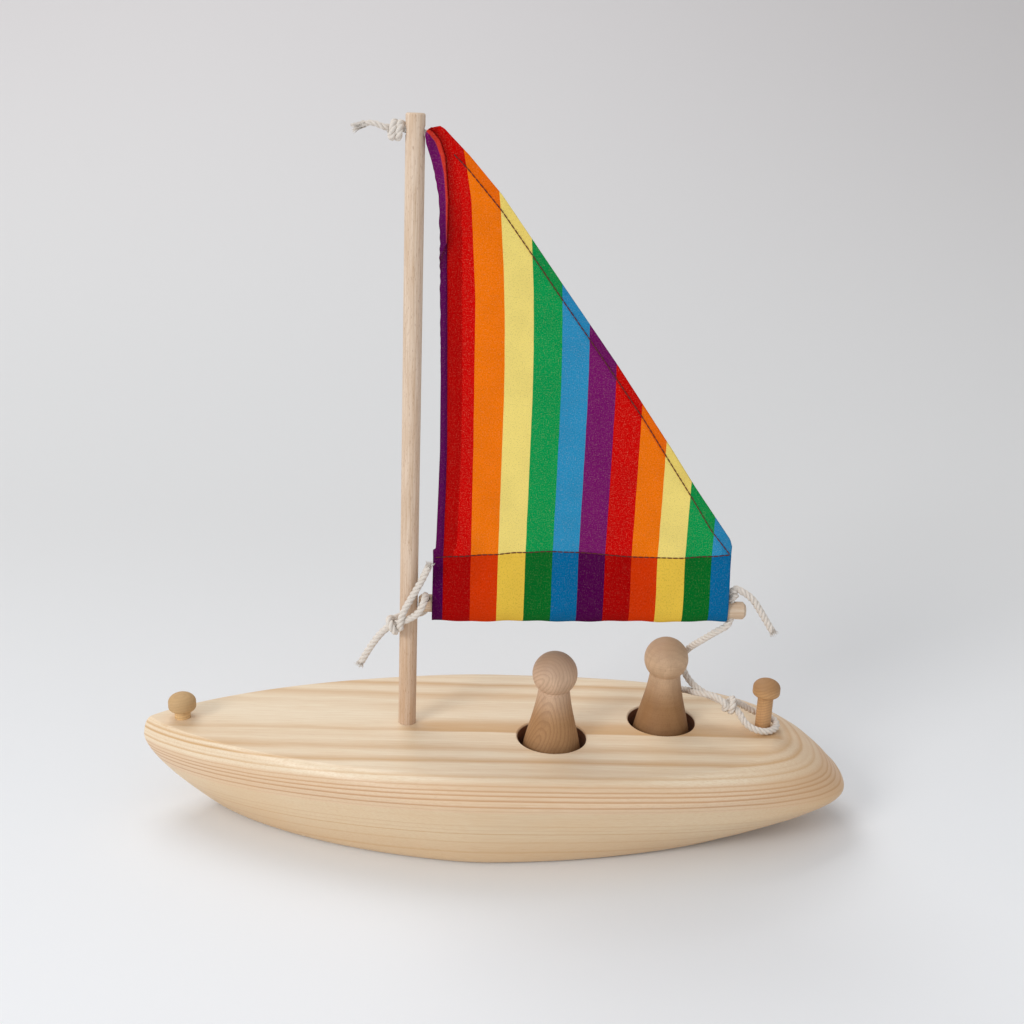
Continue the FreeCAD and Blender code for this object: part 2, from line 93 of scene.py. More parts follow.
class Paint:
    """One material. add() puts in any node, given its settings and the values or links of its sockets."""

    def __init__(self, name):
        self.material = bpy.data.materials.new(name)
        self.material.use_nodes = True
        self.tree = self.material.node_tree
        self.tree.nodes.clear()

    def add(self, kind, settings=None, sockets=None, output=0):
        node = self.tree.nodes.new("ShaderNode" + kind)
        for key, value in (settings or {}).items():
            if key == "stops":
                self.set_stops(node.color_ramp, value)
            else:
                setattr(node, key, value)
        for key, value in (sockets or {}).items():
            if isinstance(value, Socket):
                self.tree.links.new(value.link, node.inputs[key])
            else:
                node.inputs[key].default_value = value
        return Socket(self, node.outputs[output]) if node.outputs else None

    @staticmethod
    def set_stops(ramp, stops):
        while len(ramp.elements) < len(stops):
            ramp.elements.new(1.0)
        for element, (place, colour) in zip(ramp.elements, stops):
            element.position = place
            element.color = colour

    def place(self):
        """Place in the boat's own frame, in metres."""
        return self.add("TexCoord", output=3)

    def split(self, vector=None):
        """The three parts of a vector, or of the place when none is given."""
        first = self.add("SeparateXYZ", None, {0: vector or self.place()})
        outputs = first.link.node.outputs
        return [Socket(self, outputs[i]) for i in range(3)]

    def join(self, x, y, z):
        return self.add("CombineXYZ", None, {0: x, 1: y, 2: z})

    def mix(self, factor, low, high):
        return self.add("Mix", {"data_type": "RGBA"}, {0: factor, 6: low, 7: high}, 2)

    def smooth(self, value, low, high):
        """0 below low, 1 above high and an S-shaped rise between them."""
        return self.add("MapRange", {"interpolation_type": "SMOOTHSTEP"}, {0: value, 1: low, 2: high})

    def math(self, operation, *values):
        return self.add("Math", {"operation": operation}, dict(enumerate(values)))

    def noise(self, vector, scale, detail=2.0, roughness=0.5):
        sockets = {"Vector": vector, "Scale": scale, "Detail": detail, "Roughness": roughness}
        return self.add("TexNoise", None, sockets)

    def grain(self, place, scales, detail=2.0, roughness=0.5):
        """Noise stretched by its own scale along each axis."""
        stretched = self.join(*(part * scale for part, scale in zip(place, scales)))
        return self.noise(stretched, 1.0, detail, roughness)

    def coats(self, colour, *coats):
        """Lays each coat, given as how much and which colour, over the ones before it."""
        for share, coat in coats:
            colour = self.mix(share, colour, coat)
        return colour

    def attribute(self, name):
        """A value that the mesh holds at each point under this name."""
        return self.add("Attribute", {"attribute_name": name}, None, 2)

    def ramp(self, value, stops, interpolation="LINEAR"):
        node = self.add("ValToRGB", {"stops": stops}, {0: value})
        node.link.node.color_ramp.interpolation = interpolation
        return node

    def bump(self, height, distance, strength=1.0):
        return self.add("Bump", None, {"Height": height, "Distance": distance, "Strength": strength})

    def finish(self, sockets):
        """The surface shader with these sockets, joined to the material's output."""
        shader = self.add("BsdfPrincipled", None, sockets)
        self.add("OutputMaterial", None, {"Surface": shader})
        return self.material


def tone(red, green, blue):
    """Linear colour with alpha from a colour as it looks on a screen, 0 to 255."""
    parts = [value / 255.0 for value in (red, green, blue)]
    return tuple(p / 12.92 if p <= 0.04045 else ((p + 0.055) / 1.055) ** 2.4 for p in parts) + (1.0,)


# ------------------------------------------------------------------ camera

CAMERA_AT = Vector((-20.675, -554.235, 339.467)) * MM
CAMERA_PITCH, CAMERA_YAW, CAMERA_ROLL = (math.radians(v) for v in (18.905, 2.378, 2.304))
CAMERA_LENS = 46.76


def make_camera():
    """Camera looking aft of square at the port side, a little down, rolled slightly."""
    level = Vector((math.sin(CAMERA_YAW), math.cos(CAMERA_YAW), 0.0))
    side = Vector((math.cos(CAMERA_YAW), -math.sin(CAMERA_YAW), 0.0))
    up = Vector((0.0, 0.0, 1.0))
    forward = level * math.cos(CAMERA_PITCH) - up * math.sin(CAMERA_PITCH)
    above = up * math.cos(CAMERA_PITCH) + level * math.sin(CAMERA_PITCH)
    right = side * math.cos(CAMERA_ROLL) + above * math.sin(CAMERA_ROLL)
    above = above * math.cos(CAMERA_ROLL) - side * math.sin(CAMERA_ROLL)
    data = bpy.data.cameras.new("camera")
    data.lens = CAMERA_LENS
    data.sensor_width = 36.0
    data.clip_start = 0.01
    camera = bpy.data.objects.new("camera", data)
    bpy.context.scene.collection.objects.link(camera)
    turn = Matrix((right, above, -forward)).transposed().to_4x4()
    camera.matrix_world = Matrix.Translation(CAMERA_AT) @ turn
    bpy.context.scene.camera = camera


# ------------------------------------------------------------------ mesh helpers

def add_grid(name, points, uv=None):
    """Mesh from a grid of points (rows, columns, 3): each cell is one quad."""
    rows, columns = points.shape[:2]
    index = np.arange(rows * columns).reshape(rows, columns)
    quads = np.stack([index[:-1, :-1], index[:-1, 1:], index[1:, 1:], index[1:, :-1]], -1)
    return add_mesh(name, points.reshape(-1, 3), quads.reshape(-1, 4).tolist(),
                    None if uv is None else uv.reshape(-1, 2))


def add_mesh(name, points, faces, uv=None):
    """Smooth-shaded mesh object at the origin, with a UV pair for each point when given."""
    mesh = bpy.data.meshes.new(name)
    mesh.from_pydata(np.asarray(points, float).tolist(), [], faces)
    mesh.polygons.foreach_set("use_smooth", [True] * len(mesh.polygons))
    if uv is not None:
        corners = np.zeros(len(mesh.loops), int)
        mesh.loops.foreach_get("vertex_index", corners)
        layer = mesh.uv_layers.new(name="cloth")
        layer.data.foreach_set("uv", np.asarray(uv, float)[corners].ravel())
    mesh.update()
    piece = bpy.data.objects.new(name, mesh)
    bpy.context.scene.collection.objects.link(piece)
    return piece


def hold_values(piece, **values):
    """Stores a named value at each point of a mesh, for its material to read."""
    for name, value in values.items():
        layer = piece.data.attributes.new(name, "FLOAT", "POINT")
        layer.data.foreach_set("value", value.ravel().astype(np.float32))


def thicken(piece, thickness):
    """Gives a surface a thickness, half of it on each side."""
    solid = piece.modifiers.new("cloth", "SOLIDIFY")
    solid.thickness = thickness
    solid.offset = 0.0


def read_spline(name, route):
    """Points along one smooth open curve, in order, that has the route's points as its control points."""
    curve = bpy.data.curves.new(name, "CURVE")
    curve.dimensions = "3D"
    curve.resolution_u = 20
    spline = curve.splines.new("NURBS")
    spline.points.add(len(route) - 1)
    spline.points.foreach_set("co", np.hstack([route, np.ones((len(route), 1))]).ravel())
    spline.order_u = 3
    spline.use_endpoint_u = True
    holder = bpy.data.objects.new(name, curve)
    mesh = bpy.data.meshes.new_from_object(holder)
    points = np.zeros(len(mesh.vertices) * 3)
    mesh.vertices.foreach_get("co", points)
    bpy.data.objects.remove(holder)
    bpy.data.curves.remove(curve)
    bpy.data.meshes.remove(mesh)
    return points.reshape(-1, 3)


def even_steps(points, step):
    """The same line with its points an even step apart, and the distance of each from the start."""
    gaps = np.linalg.norm(np.diff(points, axis=0), axis=1)
    keep = np.concatenate([[True], gaps > 1e-9])
    points = points[keep]
    reach = np.concatenate([[0.0], np.cumsum(gaps[keep[1:]])])
    count = max(int(round(reach[-1] / step)), 4)
    along = np.linspace(0.0, reach[-1], count + 1)
    return np.stack([np.interp(along, reach, points[:, i]) for i in range(3)], -1), along


def unit(vectors):
    """The same directions with a length of 1."""
    return vectors / np.maximum(np.linalg.norm(vectors, axis=-1, keepdims=True), 1e-12)


def carried_frames(points):
    """Two directions square to the line at each point, turned as little as possible on the way."""
    tangent = unit(np.gradient(points, axis=0))
    side = np.zeros_like(points)
    start = np.cross(tangent[0], [0.3, 0.1, 0.9])
    side[0] = start / np.linalg.norm(start)
    for i in range(1, len(points)):
        turned = side[i - 1] - tangent[i] * (side[i - 1] @ tangent[i])
        side[i] = turned / np.linalg.norm(turned)
    return side, np.cross(tangent, side)


# ------------------------------------------------------------------ places from the solids

def centre_of(node):
    """Middle of a solid's box."""
    low, high = (np.array(corner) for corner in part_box(node))
    return (low + high) / 2.0


MAST_AXIS = centre_of("mast")
MAST_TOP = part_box("mast")[1].z
BOOM_LOW, BOOM_HIGH = (np.array(corner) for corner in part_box("boom"))
BOOM_AXIS = centre_of("boom")
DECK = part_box("hull")[1].z
SAIL_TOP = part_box("sail")[1].z
STERN_PEG = np.array([centre_of("stern_peg")[0], 0.0, DECK])
SEATS = [centre_of("figure_front"), centre_of("figure_rear")]

EYE_FORE = np.array([BOOM_LOW[0] + 3.2 * MM, 0.0, BOOM_AXIS[2]])
EYE_AFT = np.array([BOOM_HIGH[0] - 6.4 * MM, 0.0, BOOM_AXIS[2]])
EYE_FORE_TILT = math.radians(35.0)
EYE_AFT_TILT = math.radians(-15.0)
HALYARD_EYE = np.array([MAST_AXIS[0], 0.0, MAST_TOP - 6.8 * MM])


def eye_line(eye, tilt, distance):
    """Point on the axis of a boom eye, that far above the boom's axis, in millimetres."""
    return eye + distance * MM * np.array([0.0, -math.sin(tilt), math.cos(tilt)])


def off(anchor, steps):
    """One point or several at these millimetre steps from an anchor."""
    return anchor + np.array(steps, float) * MM


# ------------------------------------------------------------------ ropes

ROPE_LAY = 7.2 * MM
ROPE_STEP = 0.30 * MM
STRANDS = 3
STRAND_RADIUS = 0.86 * MM
STRAND_OFFSET = 0.79 * MM
YARNS = 8
YARN_DEPTH = 0.045
YARN_LAY = 2.1 * MM
FIBRE_RADIUS = 0.17 * MM
FIBRE_ROOT = 1.5 * MM
FIBRE_SPREAD = 1.15 * MM
CONTROL_REACH = 0.93  # a spline through the corners of a ring of nine points has this share of its radius


def wraps(centre, axis, up, radius, turns, rise, start, points_per_turn=9):
    """Turns round a line: points on a helix about centre + axis, with the given radius and rise per turn,
    from the angle start (degrees from up towards axis cross up). Sizes are in millimetres; negative turns
    go back."""
    axis = unit(np.asarray(axis, float))
    up = unit(np.asarray(up, float) - axis * np.dot(up, axis))
    side = np.cross(axis, up)
    count = max(int(round(abs(turns) * points_per_turn)), 2)
    turn = np.linspace(0.0, turns, count + 1)
    angle = math.radians(start) + turn * TURN
    along = (np.abs(turn) - abs(turns) / 2.0) * rise
    reach = radius / CONTROL_REACH
    offsets = along[:, None] * axis + reach * (np.cos(angle)[:, None] * up + np.sin(angle)[:, None] * side)
    return centre + offsets * MM


def make_rope(name, route, thin=None):
    """Three-strand rope. Strand k's centre circles the rope's line at STRAND_OFFSET with one turn each
    ROPE_LAY, a third of a turn from the next, and its round section has eight shallow yarn ridges.
    thin(s) scales the rope along its length. The UV map holds the angle round a strand and the distance
    along it."""
    line, along = even_steps(read_spline(name + "_line", route), ROPE_STEP)
    side, rise = carried_frames(line)
    scale = np.ones_like(along) if thin is None else thin(along / along[-1])
    around = np.linspace(0.0, TURN, 15)
    points, faces, uvs = [], [], []
    for k in range(STRANDS):
        turn = TURN * (along / ROPE_LAY + k / STRANDS)
        out = np.cos(turn)[:, None] * side + np.sin(turn)[:, None] * rise
        middle = line + out * (STRAND_OFFSET * scale)[:, None]
        forward = unit(np.gradient(middle, axis=0))
        out = unit(out - forward * (out * forward).sum(1, keepdims=True))
        across = np.cross(forward, out)
        ridge = 1.0 + YARN_DEPTH * np.cos(YARNS * around[None, :] - (along / YARN_LAY * TURN)[:, None])
        size = STRAND_RADIUS * scale[:, None] * ridge
        ring = (np.cos(around)[None, :, None] * out[:, None]
                + np.sin(around)[None, :, None] * across[:, None])
        grid = middle[:, None, :] + size[:, :, None] * ring
        uv = np.stack(np.broadcast_arrays(around[None, :] / TURN, (along / ROPE_LAY)[:, None]), -1)
        rows, columns = grid.shape[:2]
        index = np.arange(rows * columns).reshape(rows, columns) + sum(len(p) for p in points)
        quads = np.stack([index[:-1, :-1], index[:-1, 1:], index[1:, 1:], index[1:, :-1]], -1)
        faces += quads.reshape(-1, 4).tolist()
        faces += [index[0][::-1].tolist(), index[-1].tolist()]
        points.append(grid.reshape(-1, 3))
        uvs.append(uv.reshape(-1, 2))
    return add_mesh(name, np.concatenate(points), faces, np.concatenate(uvs)), line


def make_fray(name, line, at_end, count=60, length=2.8, flare=0.6):
    """Loose fibres at a rope's end: each fibre starts inside the rope's section and runs on along it,
    bending outwards by its own share of flare as the square of the distance, with a small wave. Each is a
    thin three-sided tube that narrows to its tip."""
    ordered = line if at_end else line[::-1]
    end = ordered[-1]
    forward = unit(ordered[-1] - ordered[-6])
    side = unit(np.cross(forward, [0.2, 0.3, 0.9]))
    rise = np.cross(forward, side)
    angle = RNG.uniform(0.0, TURN, count)
    depth = np.sqrt(RNG.uniform(0.0, 1.0, count))
    reach = length * RNG.uniform(0.45, 1.0, count) * MM
    bend = flare * RNG.uniform(0.1, 1.0, count)
    wave = RNG.uniform(-0.35, 0.35, (count, 2)) * MM
    t = np.linspace(0.0, 1.0, 7)
    out = np.cos(angle)[:, None] * side + np.sin(angle)[:, None] * rise
    start = end - forward * FIBRE_ROOT + out * (depth * FIBRE_SPREAD)[:, None]
    middle = (start[:, None, :] + forward * (t[None, :, None] * (reach[:, None, None] + FIBRE_ROOT))
              + out[:, None, :] * (bend[:, None, None] * reach[:, None, None] * t[None, :, None] ** 2)
              + side * (wave[:, 0, None, None] * np.sin(5.0 * t)[None, :, None])
              + rise * (wave[:, 1, None, None] * np.sin(4.0 * t + 1.0)[None, :, None]))
    width = FIBRE_RADIUS * (1.0 - 0.6 * t)
    around = np.array([0.0, 2.0, 4.0]) * math.pi / 3.0
    ring = np.cos(around)[:, None] * side + np.sin(around)[:, None] * rise
    grid = middle[:, :, None, :] + ring[None, None, :, :] * width[None, :, None, None]
    base = (np.arange(count) * len(t) * 3)[:, None, None, None]
    rows = (np.arange(len(t) - 1) * 3)[None, :, None, None]
    now = np.array([[0, 1, 4, 3], [1, 2, 5, 4], [2, 0, 3, 5]])[None, None]
    faces = (base + rows + now).reshape(-1, 4).tolist()
    first = (np.arange(count) * len(t) * 3)[:, None]
    faces += (first + np.array([2, 1, 0])).tolist()
    faces += (first + (len(t) - 1) * 3 + np.array([0, 1, 2])).tolist()
    return add_mesh(name, grid.reshape(-1, 3), faces)


def cotton(name):
    """Undyed cotton: off-white and cloudy, with fine fibres."""
    paint = Paint(name)
    spot = paint.place()
    clump = paint.noise(spot, 900.0, 3.0, 0.6)
    broad = paint.noise(spot, 120.0, 2.0)
    pale = paint.mix(clump, tone(206, 196, 186), tone(236, 231, 224))
    colour = paint.mix(broad * 0.35, pale, tone(216, 202, 188))
    height = paint.noise(spot, 2600.0, 3.0, 0.65) * 0.5 + clump * 0.5
    return paint.finish({"Base Color": colour, "Roughness": 0.92, "Specular IOR Level": 0.2,
                         "Normal": paint.bump(height, 0.00025, 0.8)})


ROPE_COTTON = cotton("rope_cotton")

MAST_HEAD_KNOT = off(HALYARD_EYE, (-7.8, 0.0, 0.0))
HALYARD_ROUTE = np.vstack([
    off(HALYARD_EYE, [(4.5, -0.3, -1.2), (0.0, 0, 0), (-3.4, 0, 0.0), (-4.6, 0.2, 1.2)]),
    wraps(MAST_HEAD_KNOT, (-1, 0, 0), (0, 0, 1), 2.75, -1.7, 2.5, 10.0),
    off(HALYARD_EYE, [(-10.6, 0.6, 1.0), (-12.6, -0.1, 0.9), (-14.8, -0.4, 1.9), (-17.2, -0.7, 2.5),
                      (-19.4, -0.9, 2.3), (-21.4, -1.1, 1.5)]),
])

TIE_ANCHOR = np.array([MAST_AXIS[0], 0.0, BOOM_AXIS[2]])
TIE_KNOT = off(TIE_ANCHOR, (-6.5, -7.0, -7.9))
TIE_AXIS = (-0.78, 0.0, -0.62)
TIE_ROUTE = np.vstack([
    off(TIE_ANCHOR, [(-20.7, -6.5, -26.6), (-19.0, -6.6, -23.2), (-15.9, -6.8, -17.7), (-12.1, -7.0, -12.2),
                     (-9.2, -7.0, -9.4), (-6.5, -7.0, -7.9), (-3.4, -7.1, -6.6), (-0.2, -8.2, -5.0),
                     (4.6, -10.2, -1.0), (7.0, -10.4, 4.0)]),
    off(eye_line(EYE_FORE, EYE_FORE_TILT, 6.5), [(0.0, -3.2, 0.9), (0.0, 0.0, 0.0)]),
    eye_line(EYE_FORE, EYE_FORE_TILT, -7.6),
    off(TIE_ANCHOR, [(3.0, 7.2, -8.5), (-3.0, 6.4, -8.9), (-7.2, 0.6, -8.6)]),
    wraps(TIE_KNOT, TIE_AXIS, (0.0, 1.0, 0.0), 3.0, 1.45, -2.8, -20.0),
    off(TIE_ANCHOR, [(-2.4, -8.6, -1.6), (1.3, -7.2, 5.0), (4.6, -6.6, 11.0), (7.0, -6.3, 16.0),
                     (8.7, -6.3, 20.0)]),
])

SHEET_STOPPER = eye_line(EYE_AFT, EYE_AFT_TILT, 7.8)
SHEET_KNOT = off(STERN_PEG, (-16.1, -0.2, 12.3))
SHEET_AXIS = (1.0, -0.2, -0.35)
SHEET_ROUTE = np.vstack([
    off(SHEET_STOPPER, [(19.6, -2.4, -16.9), (17.0, -2.0, -13.0), (13.6, -1.4, -7.8), (9.6, -0.8, -2.0),
                        (4.9, -0.3, 1.0), (1.6, 0.2, 2.4)]),
    wraps(SHEET_STOPPER, (0.0, -0.26, -0.97), (1.0, 0.0, 0.0), 1.7, 1.25, 2.9, 20.0),
    [eye_line(EYE_AFT, EYE_AFT_TILT, 2.7), eye_line(EYE_AFT, EYE_AFT_TILT, -6.6)],
    off(STERN_PEG, [(-26.0, 0.4, 49.0), (-31.4, 4.6, 42.6), (-35.4, 11.4, 35.9), (-37.6, 17.4, 29.0),
                    (-37.2, 17.4, 22.4), (-33.4, 12.6, 16.8), (-27.2, 8.4, 13.6), (-21.6, 3.6, 12.8),
                    (-16.1, -0.2, 12.3), (-12.4, -2.6, 9.8), (-10.2, -5.6, 5.9), (-5.6, -7.3, 3.1),
                    (0.4, -7.2, 2.0), (5.6, -3.9, 2.2), (6.8, 1.4, 3.1), (3.4, 5.9, 3.9),
                    (-2.8, 6.0, 5.6), (-8.6, 4.4, 9.2)]),
    wraps(SHEET_KNOT, SHEET_AXIS, (0.0, 1.0, 0.0), 2.8, -1.6, -2.9, 30.0),
    off(STERN_PEG, [(-22.8, 1.4, 15.4), (-28.8, 4.2, 15.6), (-32.4, 9.8, 13.6), (-34.8, 16.4, 11.4),
                    (-38.4, 21.0, 9.4)]),
])


def worn(share):
    """The halyard's tail has lost some of its yarn: it thins by 28 % over its last third."""
    return 1.0 - 0.28 * np.clip((share - 0.62) / 0.3, 0.0, 1.0)


def make_ropes():
    """Halyard at the mast's head, tie from mast to boom, and mainsheet from the boom to the stern peg."""
    halyard, line = make_rope("halyard", HALYARD_ROUTE, worn)
    fray = make_fray("halyard_fray", line, True, 90, 4.4, 0.35)
    for piece in (halyard, fray):
        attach(piece, "hull")
    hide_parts("halyard_throat", "halyard_knot", "halyard_tail")

    tie, line = make_rope("boom_tie", TIE_ROUTE)
    frays = [make_fray("boom_tie_fray_low", line, False), make_fray("boom_tie_fray_high", line, True)]
    for piece in [tie, *frays]:
        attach(piece, "boom")
    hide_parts("tie_ring", "tie_knot", "tie_tail_upper", "tie_tail_lower")

    sheet, line = make_rope("mainsheet", SHEET_ROUTE)
    upper = make_fray("mainsheet_fray_high", line, False)
    lower = make_fray("mainsheet_fray_low", line, True)
    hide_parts("sheet_stopper", "sheet_tail", "sheet_run", "sheet_knot", "sheet_loop",
                "sheet_short_tail")
    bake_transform(sheet)
    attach(upper, "boom")
    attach(lower, "hull")
    for piece in (halyard, fray, tie, *frays, sheet, upper, lower):
        piece.data.materials.append(ROPE_COTTON)


make_camera()
make_ropes()


# ------------------------------------------------------------------ sail

STRIPE_EDGES = np.array([-27.5, -15.1, -3.1, 8.7, 21.0, 32.8, 44.3, 56.4, 68.3, 80.3, 92.4, 104.4]) * MM
STRIPE_PITCH = 12.1 * MM
STRIPES = 12
CLOTH = 0.4 * MM
HEM_CLOTH = 0.3 * MM
THREAD_PITCH = 0.34 * MM
SLEEVE_HALF = 4.75 * MM
SLEEVE_ROUND = 56.0 * MM
SLEEVE_LEAN = 1.1 * MM
UNDER_BOOM = 0.42  # share of the sleeve's cloth that passes under the boom
HEM = 4.3 * MM
LUFF_HEM = 9.5 * MM

# Lines of the sail as places (x, z): its edges, the edges of its first stripes and of the raised band, and
# its two rows of stitches.
LUFF = np.array([
    (-31.4, 96.0), (-31.3, 126.3), (-32.0, 127.1), (-32.1, 131.0), (-30.9, 131.8), (-30.7, 136.0),
    (-30.3, 155.0), (-29.9, 177.0), (-30.3, 210.0), (-31.2, 242.3), (-32.1, 275.0), (-32.6, 283.0),
    (-33.1, 287.6), (-34.3, 292.5), (-35.9, 299.0), (-38.0, 305.2), (-38.5, 308.6),
    (-37.9, 310.2), (-36.1, 311.3)]) * MM
LEECH = np.array([
    (101.0, 96.0), (101.4, 129.0), (101.4, 135.8), (100.2, 139.2), (82.5, 163.3), (70.6, 180.6),
    (44.7, 216.9), (20.9, 248.6), (-6.9, 285.9), (-20.5, 300.9), (-26.2, 306.4), (-31.2, 311.3),
    (-32.6, 312.0)]) * MM
PURPLE_EDGE = np.array([
    (-27.6, 96.0), (-27.9, 130.0), (-27.3, 177.0), (-28.7, 242.4), (-29.9, 283.0), (-30.8, 293.3),
    (-32.4, 300.5), (-34.8, 306.0), (-37.8, 309.4), (-41.0, 312.0)]) * MM
RED_EDGE = np.array([
    (-15.2, 96.0), (-15.4, 128.6), (-15.7, 177.7), (-16.7, 242.8), (-19.5, 283.5), (-21.7, 295.8),
    (-23.2, 303.0), (-24.4, 312.0)]) * MM
BAND_EDGE = np.array([
    (-27.6, 96.0), (-27.9, 130.0), (-27.3, 177.0), (-28.5, 242.0), (-29.0, 259.0), (-28.8, 283.0),
    (-29.7, 293.3), (-30.4, 300.1), (-32.5, 306.1), (-35.4, 309.6), (-39.0, 312.0)]) * MM
SEAM = np.array([
    (-33.0, 127.0), (-15.6, 128.5), (-3.7, 129.5), (5.0, 130.5), (13.4, 131.1), (22.0, 131.5),
    (30.5, 131.5), (44.3, 130.7), (58.1, 129.9), (68.5, 129.7), (80.5, 130.0), (90.8, 131.0),
    (101.5, 132.0)]) * MM
LEECH_STITCH = np.array([
    (100.6, 132.2), (91.2, 143.5), (81.5, 158.3), (69.0, 176.5), (57.8, 193.1), (38.0, 219.9),
    (18.1, 246.3), (5.9, 262.8), (-7.1, 280.0), (-21.5, 296.2), (-27.0, 301.3)]) * MM


def line_at(line, height):
    """Place along X of a line of the sail at a height."""
    return np.interp(height, line[:, 1], line[:, 0])


def luff_at(height):
    """The forward edge, with small puckers where its hem is drawn tight."""
    tight = np.clip((height - 0.205) / 0.05, 0.0, 1.0) * np.clip((0.3000 - height) / 0.01, 0.0, 1.0)
    fine = np.sin(1250.0 * height + 3.0 * np.sin(170.0 * height))
    return line_at(LUFF, height) + 0.13 * MM * tight * (fine + np.sin(430.0 * height))


def leech_at(height):
    """The after edge."""
    return line_at(LEECH, height)


def stripe_place(x, z):
    """Distance across the stripes. The first two edges follow their own lines, and the others lean
    forward by a power of the height; between two edges the distance grows evenly by one pitch."""
    lean = 4.5 * MM * np.clip((z - 0.190) / 0.093, 0.0, 1.25) ** 2.2
    edges = [line_at(PURPLE_EDGE, z), line_at(RED_EDGE, z)] + [edge - lean for edge in STRIPE_EDGES[2:]]
    place = np.clip(STRIPE_PITCH + x - edges[0], 0.3 * STRIPE_PITCH, STRIPE_PITCH)
    for low, high in zip(edges, edges[1:]):
        place = place + STRIPE_PITCH * np.clip((x - low) / (high - low), 0.0, 1.0)
    return place


def seam_at(x):
    """Height of the foot seam, which rises in a slow wave towards its after end."""
    return np.interp(x, SEAM[:, 0], SEAM[:, 1])


def foot_at(x):
    """Height of the sleeve's lowest line, a little under the boom, with small scallops."""
    return (97.3 * MM + 0.023 * (x + 0.031)
            + (0.22 * np.sin(150.0 * x) + 0.16 * np.sin(410.0 * x + 1.0)) * MM)


def billow(x, z):
    """Port-to-starboard place of the single cloth: a shallow belly towards port, flat at its edges; a
    band along the luff that stands a little proud; puckers along the seam and the leech's stitches; a
    slow ripple; and a head that passes the mast on its port side."""
    across = np.clip((x - luff_at(z)) / np.maximum(leech_at(z) - luff_at(z), 1e-6), 0.0, 1.0)
    up = np.clip((z - seam_at(x)) / (SAIL_TOP - seam_at(x)), 0.0, 1.0)
    belly = -1.5 * np.sin(math.pi * across) * np.sin(math.pi * up ** 0.8)
    past = np.clip((line_at(BAND_EDGE, z) + 0.3 * MM - x) / (0.6 * MM), 0.0, 1.0)
    raised = -0.95 * past * past * (3.0 - 2.0 * past) * np.clip(up / 0.02, 0.0, 1.0)
    near = np.clip((-0.0335 - x) / 0.0035, 0.0, 1.0) * np.clip((z - 0.2930) / 0.012, 0.0, 1.0)
    pucker = 0.30 * np.sin(330.0 * x + 2.0 * np.sin(60.0 * x)) * np.exp(-((z - seam_at(x)) / 0.007) ** 2)
    reach = (leech_at(z) - x) * 0.80
    tuck = 0.16 * np.sin(620.0 * z + 1.5 * np.sin(130.0 * z)) * np.exp(-((reach - 0.0035) / 0.003) ** 2)
    ripple = 0.25 * np.sin(70.0 * x + 25.0 * z) * np.sin(math.pi * up)
    return (belly + raised - 2.0 * near + pucker + tuck * np.clip(up / 0.05, 0.0, 1.0) + ripple) * MM


def upper_cloth():
    """Points of the single cloth: rows span luff to leech from the head down to the seam."""
    across = np.linspace(0.0, 1.0, 181)
    rise = np.linspace(1.0, 0.0, 281)[:, None]
    luff_top, leech_top = LUFF[-1], LEECH[-1]
    seam_luff, seam_leech = seam_at(luff_at(0.128)), seam_at(0.101)
    left = seam_luff + rise * (luff_top[1] - seam_luff)
    right = seam_leech + rise * (leech_top[1] - seam_leech)
    x = luff_at(left) + (leech_at(right) - luff_at(left)) * across
    level = left + (right - left) * across
    z = level + (1.0 - rise) ** 6 * (seam_at(x[-1]) - level[-1])
    return np.stack([x, billow(x, z), z], -1)


def sleeve_cloth(last_row):
    """Points of the closed pocket that goes on from the upper cloth's last row, down the port side, round
    under the boom and up the starboard side. Half its width is a sine under the boom and falls as a
    cosine from the boom to the seam; the fold under the boom leans a little to port. Also each row's
    share of the way round."""
    x = last_row[:, 0]
    turn = np.linspace(0.0, 1.0, 122)[1:, None]
    seam, foot = seam_at(x), foot_at(x)
    half = np.abs(2.0 * turn - 1.0)
    below = half / UNDER_BOOM * math.pi / 2.0
    above = (half - UNDER_BOOM) / (1.0 - UNDER_BOOM)
    low = half < UNDER_BOOM
    z = np.where(low, foot + (BOOM_AXIS[2] - foot) * (1.0 - np.cos(below)),
                 BOOM_AXIS[2] + (seam - BOOM_AXIS[2]) * above)
    upper_width = SLEEVE_HALF * (0.5 + 0.5 * np.cos(math.pi * above)) ** 0.9
    width = np.where(low, SLEEVE_HALF * np.sin(below), upper_width + 0.3 * MM * above)
    sway = 0.18 * MM * np.sin(210.0 * x + 3.0 * turn) * np.sin(math.pi * turn)
    lean = -SLEEVE_LEAN * np.clip(1.0 - half / UNDER_BOOM, 0.0, 1.0) ** 1.5
    y = np.where(turn < 0.5, -1.0, 1.0) * width + sway + lean + (1.0 - turn) ** 8 * last_row[:, 1]
    return np.stack([np.broadcast_to(x, y.shape), y, z], -1), turn


def make_sail():
    """One cloth: the single cloth above the seam and the sleeve below it. It holds its distances from the
    leech, the luff and the raised band's edge. Its UV map is the distance across the stripes and below
    the seam."""
    upper = upper_cloth()
    lower, turn = sleeve_cloth(upper[-1])
    grid = np.concatenate([upper, lower])
    x, z = grid[..., 0], grid[..., 2]
    above_seam = upper[..., 2] - seam_at(upper[..., 0])
    below_seam = np.broadcast_to(-turn * SLEEVE_ROUND, lower.shape[:2])
    down = np.concatenate([above_seam, below_seam])
    sail = add_grid("sail_cloth", grid, uv=np.stack([stripe_place(x, z), down], -1))
    square_on = np.interp(z, [0.13, 0.14], [1.0, 0.80])
    widening = np.clip(0.266 - z, 0.0, None) * 0.4
    hold_values(sail, hem=(leech_at(z) - x) * square_on, luff=x - luff_at(z),
                fold=x - line_at(BAND_EDGE, z) + widening)
    thicken(sail, CLOTH)
    return sail


